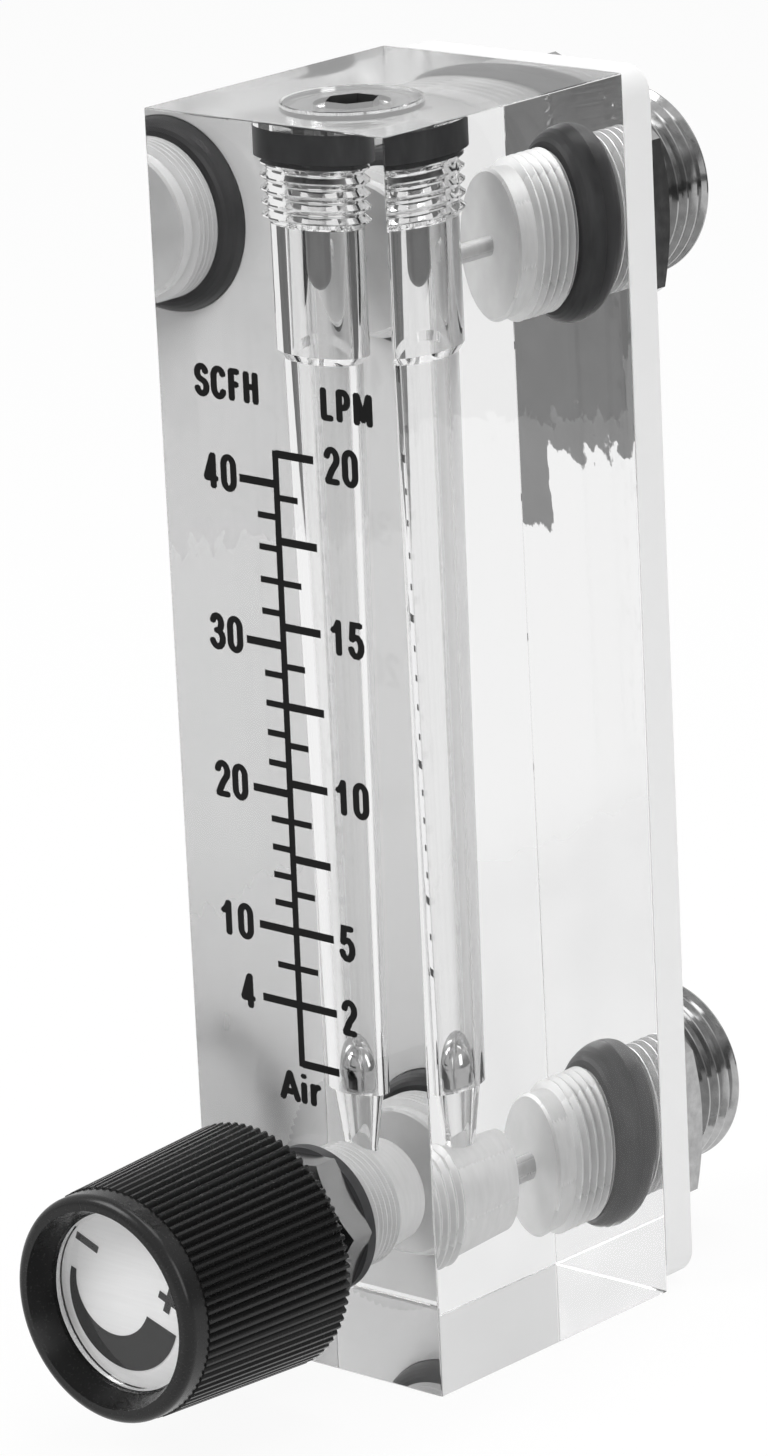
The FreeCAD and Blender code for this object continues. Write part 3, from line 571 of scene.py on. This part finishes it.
STEM, CROSSBAR = 0.34, 0.27
LETTER_STROKES = {
    "0": [bend(0.5, 0.74, 0.5, 0.26, 85, 180) + bend(0.5, 0.26, 0.5, 0.26, 180, 275),
          bend(0.5, 0.74, 0.5, 0.26, 95, 0) + bend(0.5, 0.26, 0.5, 0.26, 0, -95)],
    "1": [[(1, 0), (1, 1)], [(1, 0.96), (0.55, 0.79), (0.0, 0.71)]],
    "2": [bend(0.5, 0.74, 0.5, 0.26, 172, -35) + [(0.5, 0.37), (0.04, 0.02)], [(0, 0), (1, 0)]],
    "3": [bend(0.46, 0.76, 0.44, 0.24, 165, -80), bend(0.46, 0.27, 0.54, 0.27, 80, -165),
          [(0.36, 0.525), (0.55, 0.525)]],
    "4": [[(0.72, 0), (0.72, 1)], [(0.68, 0.98), (0.02, 0.27)], [(0, 0.25), (1, 0.25)]],
    "5": [[(0.95, 1), (0.2, 1), (0.08, 0.52)],
          [(0.08, 0.52)] + bend(0.46, 0.31, 0.54, 0.31, 130, -165)],
    "S": [bend(0.5, 0.76, 0.46, 0.24, 12, 235) + bend(0.5, 0.25, 0.5, 0.25, 55, -170)],
    "C": [bend(0.52, 0.7, 0.52, 0.3, 20, 180) + bend(0.52, 0.3, 0.52, 0.3, 180, 340)],
    "F": [[(0, 0), (0, 1)], [(0, 1), (1, 1)], [(0, 0.53), (0.85, 0.53)]],
    "H": [[(0, 0), (0, 1)], [(1, 0), (1, 1)], [(0, 0.53), (1, 0.53)]],
    "L": [[(0, 1), (0, 0)], [(0, 0), (1, 0)]],
    "P": [[(0, 0), (0, 1)],
          [(0, 1), (0.5, 1)] + bend(0.5, 0.73, 0.5, 0.27, 80, -80) + [(0.5, 0.46), (0, 0.46)]],
    "M": [[(0, 0), (0, 1)], [(1, 0), (1, 1)], [(0.04, 1), (0.5, 0.12)], [(0.96, 1), (0.5, 0.12)]],
    "A": [[(0, 0), (0.5, 1)], [(1, 0), (0.5, 1)], [(0.2, 0.27), (0.8, 0.27)]],
    "i": [[(0.5, 0), (0.5, 0.66)], [(0.5, 0.98), (0.5, 1.0)]],
    "r": [[(0, 0), (0, 0.7)], [(0, 0.42), (0.35, 0.63), (1, 0.69)]],
}


def stroke_outline(line):
    """Go round a pen stroke, STEM to each side and CROSSBAR above and below, ends rounded."""
    pen = [Vector((x / STEM, z / CROSSBAR)) for x, z in line]
    ways = [(there - here).normalized() for here, there in zip(pen, pen[1:])]
    left, right = [], []
    for at, point in enumerate(pen):
        before, after = ways[max(at - 1, 0)], ways[min(at, len(ways) - 1)]
        middle = (before + after).normalized()
        side = Vector((-middle.y, middle.x)) / max(middle.dot(after), 0.6)
        left.append(point + side)
        right.append(point - side)
    last, first = pen[-1] + ways[-1] * 0.7, pen[0] - ways[0] * 0.7
    last_side = Vector((-ways[-1].y, ways[-1].x)) * 0.55
    first_side = Vector((-ways[0].y, ways[0].x)) * 0.55
    round_trip = (left + [last + last_side, last - last_side]
                  + right[::-1] + [first - first_side, first + first_side])
    return [(point.x * STEM, point.y * CROSSBAR) for point in round_trip]


def joined(pieces, name):
    start_fresh()
    for piece in pieces:
        piece.select_set(True)
    bpy.context.view_layer.objects.active = pieces[0]
    if len(pieces) > 1:
        bpy.ops.object.join()
    pieces[0].name = name
    return pieces[0]


drawn_letters = {}


def print_letter(letter, x, z, width, height):
    """Print one letter with its lower left corner here; each shape is drawn once and copied."""
    key = (letter, width, height)
    if key not in drawn_letters:
        inner_width, inner_height = width - 2 * STEM, height - 2 * CROSSBAR
        strokes = []
        for layer, line in enumerate(LETTER_STROKES[letter]):
            corners = stroke_outline(
                [(STEM + u * inner_width, CROSSBAR + v * inner_height) for u, v in line])
            strokes.append(flat_shape("stroke", corners, PRINT_FACE - INK / 2 + LAYER * layer, INK))
        drawn_letters[key] = joined(strokes, "letter")
    printed = drawn_letters[key].copy()
    printed.data = printed.data.copy()
    bpy.context.collection.objects.link(printed)
    printed.location = (x * MM, 0, z * MM)
    settle(printed)
    print_pieces.append(printed)


NUMERAL_PITCH, NUMERAL_GAP, NUMERAL_HEIGHT, WIDTH_OF_ONE = 1.95, 0.2, 3.2, 1.25
for numeral, middle, height in (
    ("40", -6.9, 77.1), ("30", -7.0, 63.3), ("20", -7.2, 50.5), ("10", -7.3, 38.3),
    ("4", -6.4, 32.2),
    ("20", 6.5, 79.3), ("15", 6.4, 64.8), ("10", 6.2, 51.1), ("5", 5.0, 38.4), ("2", 4.9, 31.9),
):
    x = middle - (NUMERAL_PITCH * len(numeral) - NUMERAL_GAP) / 2
    for digit in numeral:
        width = WIDTH_OF_ONE if digit == "1" else NUMERAL_PITCH - NUMERAL_GAP
        print_letter(digit, x, height - NUMERAL_HEIGHT / 2, width, NUMERAL_HEIGHT)
        x += NUMERAL_PITCH

for letter, x, z, width, height in (
    ("S", -9.3, 83.25, 1.7, 2.85), ("C", -7.45, 83.25, 1.7, 2.85), ("F", -5.5, 83.25, 1.35, 2.85),
    ("H", -3.85, 83.25, 1.65, 2.85),
    ("L", 4.55, 83.0, 1.45, 2.85), ("P", 6.25, 83.0, 1.55, 2.85), ("M", 8.1, 83.0, 2.05, 2.85),
    ("A", -3.3, 23.2, 2.35, 2.8), ("i", -0.9, 23.2, 0.7, 2.8), ("r", 0.15, 23.2, 1.3, 2.8),
):
    print_letter(letter, x, z, width, height)
for drawn in drawn_letters.values():
    bpy.data.objects.remove(drawn)

# the whole print sits half a degree off square
scale_print = joined(print_pieces, "scale_print")
bpy.ops.object.mode_set(mode="EDIT")
bpy.ops.mesh.select_all(action="SELECT")
bpy.ops.transform.rotate(value=radians(PRINT_TURN), orient_axis="Y",
                         center_override=(LINE_X * MM, 0, 53.1 * MM))
bpy.ops.object.mode_set(mode="OBJECT")
black_ink.on(scale_print)
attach(scale_print, "block_assembly")


# Studio: a pale floor that keeps the object's soft shadow, white paper up to a ragged edge in
# front to the left, which the block's clear faces mirror, three soft lamps and a bright room.

start_fresh()
bpy.ops.mesh.primitive_plane_add(size=4.0, location=(0, 0, -0.02 * MM))
floor = bpy.context.object
floor.name = "floor"
floor_paint = Finish("floor_paint", Roughness=0.6)
PAPER_TURN = radians(131.6)
NOTCH_START, NOTCH_END = -0.0106, -0.0112  # metres along the edge
PAPER_END, TABLE_START = 0.0975, 0.1012  # metres outwards, squared: the same on both sides
corner = floor_paint.place(turn=(0, 0, PAPER_TURN))
apart = floor_paint.node("SeparateXYZ", Vector=corner)
outwards, along = floor_paint.value(apart, "X"), floor_paint.value(apart, "Y")
fibres = floor_paint.value(floor_paint.node("CombineXYZ", X=outwards * 0.12, Y=along), "Vector")
notch = floor_paint.value(floor_paint.node(
    "MapRange", Value=along, From_Min=NOTCH_START, From_Max=NOTCH_END), "Result")
ragged = outwards + floor_paint.grain(1.6, 6.0, fibres) * 0.05 + notch * 0.034
paper = floor_paint.value(floor_paint.node(
    "MapRange", {"interpolation_type": "SMOOTHSTEP"}, Value=ragged * ragged,
    From_Min=TABLE_START, From_Max=PAPER_END), "Result")
table = floor_paint.grain(3.0, 6.0, fibres) * 0.07
floor_paint.tint((paper + table).limited(), (0.015, 0.015, 0.015), (0.93, 0.93, 0.93))
path = floor_paint.node("LightPath")
reflected = (floor_paint.value(path, "Is Glossy Ray")
             + floor_paint.value(path, "Is Transmission Ray"))
seen = floor_paint.value(path, "Is Camera Ray") * (1 - paper * 0.07) + reflected * paper
glow = floor_paint.node("Emission", Color=(1, 1, 1, 1), Strength=1.0)
mixed = floor_paint.node("MixShader", Fac=seen)
floor_paint.tree.links.new(floor_paint.shader.outputs[0], mixed.inputs[1])
floor_paint.tree.links.new(glow.outputs[0], mixed.inputs[2])
floor_paint.tree.links.new(mixed.outputs[0], floor_paint.output.inputs["Surface"])
floor_paint.on(floor)

world = bpy.data.worlds.new("studio")
bpy.context.scene.world = world
world.use_nodes = True
room = world.node_tree.nodes["Background"]
room.inputs["Color"].default_value = (1, 1, 1, 1)
room_path = world.node_tree.nodes.new("ShaderNodeLightPath")
beside = world.node_tree.nodes.new("ShaderNodeMapping")
beside.inputs["Rotation"].default_value = (0, 0, PAPER_TURN)
parts = world.node_tree.nodes.new("ShaderNodeSeparateXYZ")
heading = world.node_tree.nodes.new("ShaderNodeTexCoord")
world.node_tree.links.new(heading.outputs["Generated"], beside.inputs["Vector"])
world.node_tree.links.new(beside.outputs["Vector"], parts.inputs["Vector"])
sideways = Value(world.node_tree, parts.outputs["X"])
upwards = Value(world.node_tree, parts.outputs["Z"])
open_sky = upwards * 4 - 1.2
open_end = sideways * 2.4 + 1.2
bright = Value(world.node_tree, room_path.outputs["Is Glossy Ray"]) * 0.8
seen_room = (Value(world.node_tree, room_path.outputs["Is Camera Ray"])
             + bright * open_sky.combine("MAXIMUM", open_sky, open_end).limited())
camera_room = world.node_tree.nodes.new("ShaderNodeBackground")
camera_room.inputs["Color"].default_value = (1, 1, 1, 1)
camera_room.inputs["Strength"].default_value = 1.0
room.inputs["Strength"].default_value = 0.3
blend = world.node_tree.nodes.new("ShaderNodeMixShader")
world.node_tree.links.new(seen_room.socket, blend.inputs[0])
world.node_tree.links.new(room.outputs[0], blend.inputs[1])
world.node_tree.links.new(camera_room.outputs[0], blend.inputs[2])
world.node_tree.links.new(blend.outputs[0], world.node_tree.nodes["World Output"].inputs["Surface"])

for name, place, aim, width, depth, watts in (
    ("key_lamp", (-0.35, -0.45, 0.55), (0, 0, 0.05), 0.35, 0.35, 3.2),
    ("side_lamp", (0.55, -0.1, 0.3), (0, 0, 0.05), 0.25, 0.4, 1.2),
    ("top_lamp", (0.05, 0.15, 0.6), (0, 0, 0.05), 0.4, 0.3, 1.8),
):
    bpy.ops.object.light_add(type="AREA", location=place)
    lamp = bpy.context.object
    lamp.name = name
    lamp.data.shape = "RECTANGLE"
    lamp.data.size = width
    lamp.data.size_y = depth
    lamp.data.energy = watts
    lamp.rotation_euler = (Vector(aim) - Vector(place)).to_track_quat("-Z", "Y").to_euler()

bpy.ops.object.camera_add(location=(0.384763, -0.434376, 0.219723),
                          rotation=(radians(73.91692), radians(2.64026), radians(41.01968)))
camera = bpy.context.object
camera.data.sensor_width = 36.0
camera.data.lens = 177.5445
camera.data.clip_start = 0.01
bpy.context.scene.camera = camera
bpy.context.scene.view_settings.view_transform = "Standard"
bpy.context.scene.cycles.max_bounces = 24
bpy.context.scene.cycles.glossy_bounces = 16
bpy.context.scene.cycles.transmission_bounces = 24
